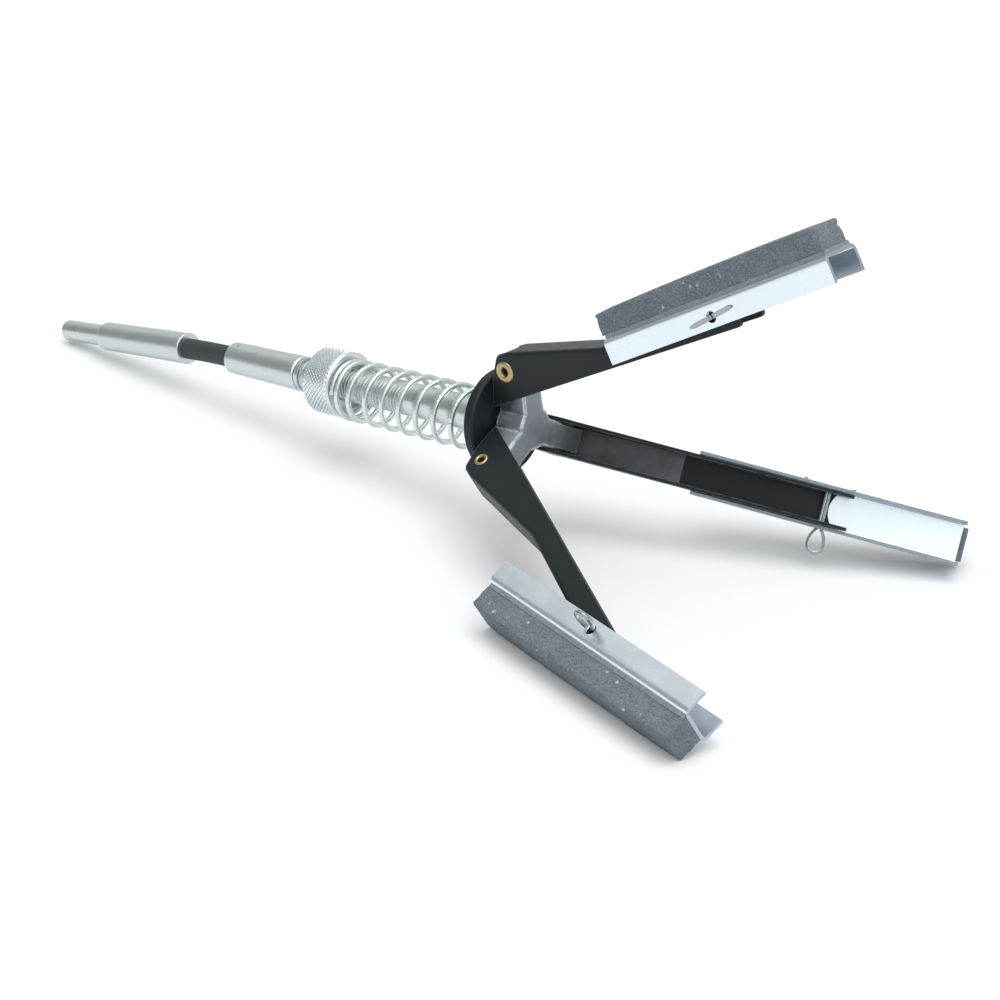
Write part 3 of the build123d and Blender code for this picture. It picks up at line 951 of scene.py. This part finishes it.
# Floor, light and camera, in metres
table_half = 4.0
table_colour = (0.82, 0.83, 0.84, 1.0)
table_roughness = 0.85
table_glow = 0.04
far_glow = 0.3
far_glow_start = 0.35
far_glow_end = 1.4

# The room that metal shows: the directions of its parts, the cosines of the angles off them between which
# each part comes in, and their brightness
up = (0, 0, 1)
dim_wall = (-0.77, -0.58, 0.27)
window = (0.78, -0.41, 0.47)
sky_reach = (0.15, 0.85)
wall_reach = (0.68, 0.93)
window_reach = (0.935, 0.972)
low_sky = 0.72
high_sky = 0.86
wall_share = 0.5
sky_tint = (0.97, 0.99, 1.0, 1.0)

lamp_place = (0.2, -0.18, 1.2)
lamp_target = (0.05, 0, 0)
lamp_size = 1.25
lamp_power = 10.2

camera_place = (0.3823, -0.3928, 0.2451)
camera_turns = (68.109, -2.377, 42.284)
camera_shift = -0.1
focal_pixels = 1969
picture_pixels = 1000


def floor():
    """A wide white table. It glows a little where the camera or metal sees it, and more far from the hone."""
    form = bmesh.new()
    bmesh.ops.create_grid(form, x_segments=1, y_segments=1, size=table_half)
    mesh = bpy.data.meshes.new("table_top")
    form.to_mesh(mesh)
    form.free()
    tree, surface = shader("white_table", 0.0, table_roughness)
    surface.inputs["Base Color"].default_value = table_colour
    seen = add(tree, "ShaderNodeLightPath").outputs
    direct = larger(tree, seen["Is Camera Ray"], seen["Is Glossy Ray"])
    direct = larger(tree, direct, seen["Is Transmission Ray"])
    place = surface_place(tree)
    distance = add(tree, "ShaderNodeVectorMath", {0: place}, operation="LENGTH").outputs["Value"]
    beyond = spread(tree, distance, far_glow_start, far_glow_end, to_high=far_glow)
    strength = plus(tree, times(tree, direct, table_glow), times(tree, seen["Is Camera Ray"], beyond))
    glow = add(tree, "ShaderNodeEmission", {"Strength": strength})
    both = add(tree, "ShaderNodeAddShader", {0: surface.outputs[0], 1: glow.outputs[0]})
    tree.links.new(both.outputs[0], tree.nodes["Material Output"].inputs["Surface"])
    mesh.materials.append(finishes["white_table"])
    table = bpy.data.objects.new("table_top", mesh)
    bpy.context.scene.collection.objects.link(table)


def room():
    """A white room: paler high up, a dim wall at the camera's left, a window behind it to the right."""
    world = bpy.data.worlds.new("studio")
    world.use_nodes = True
    tree = world.node_tree
    back = tree.nodes["Background"]
    seen = add(tree, "ShaderNodeLightPath").outputs
    way = add(tree, "ShaderNodeTexCoord").outputs["Generated"]

    def towards(direction):
        return alignment(tree, way, Vector(direction).normalized())

    sky = spread(tree, towards(up), *sky_reach, to_low=low_sky, to_high=high_sky)
    wall = spread(tree, towards(dim_wall), *wall_reach, to_low=1.0, to_high=wall_share)
    pane = spread(tree, towards(window), *window_reach, change="SMOOTHSTEP")
    level = plus(tree, times(tree, sky, wall), pane)
    straight = larger(tree, seen["Is Camera Ray"], seen["Is Transmission Ray"])
    values = {"Factor": straight, 2: level, 3: 1.0}
    brightness = add(tree, "ShaderNodeMix", values, data_type="FLOAT").outputs[0]
    tree.links.new(brightness, back.inputs["Strength"])
    back.inputs["Color"].default_value = sky_tint
    bpy.context.scene.world = world


def soft_light():
    """A square softbox over the hone."""
    data = bpy.data.lights.new("overhead_softbox", "AREA")
    data.shape = "RECTANGLE"
    data.size = lamp_size
    data.size_y = lamp_size
    data.energy = lamp_power
    lamp = bpy.data.objects.new("overhead_softbox", data)
    lamp.location = lamp_place
    lamp.rotation_mode = "QUATERNION"
    lamp.rotation_quaternion = (Vector(lamp_target) - Vector(lamp_place)).to_track_quat("-Z", "Y")
    bpy.context.scene.collection.objects.link(lamp)


def camera():
    """The photograph's camera, with its small vertical shift."""
    data = bpy.data.cameras.new("photo_camera")
    data.sensor_width = 36.0
    data.lens = focal_pixels / picture_pixels * data.sensor_width
    data.shift_y = camera_shift
    data.clip_start = 0.01
    view = bpy.data.objects.new("photo_camera", data)
    view.location = camera_place
    view.rotation_euler = [math.radians(turn) for turn in camera_turns]
    bpy.context.scene.collection.objects.link(view)
    bpy.context.scene.camera = view


floor()
room()
soft_light()
camera()
bpy.context.scene.view_settings.view_transform = "Standard"
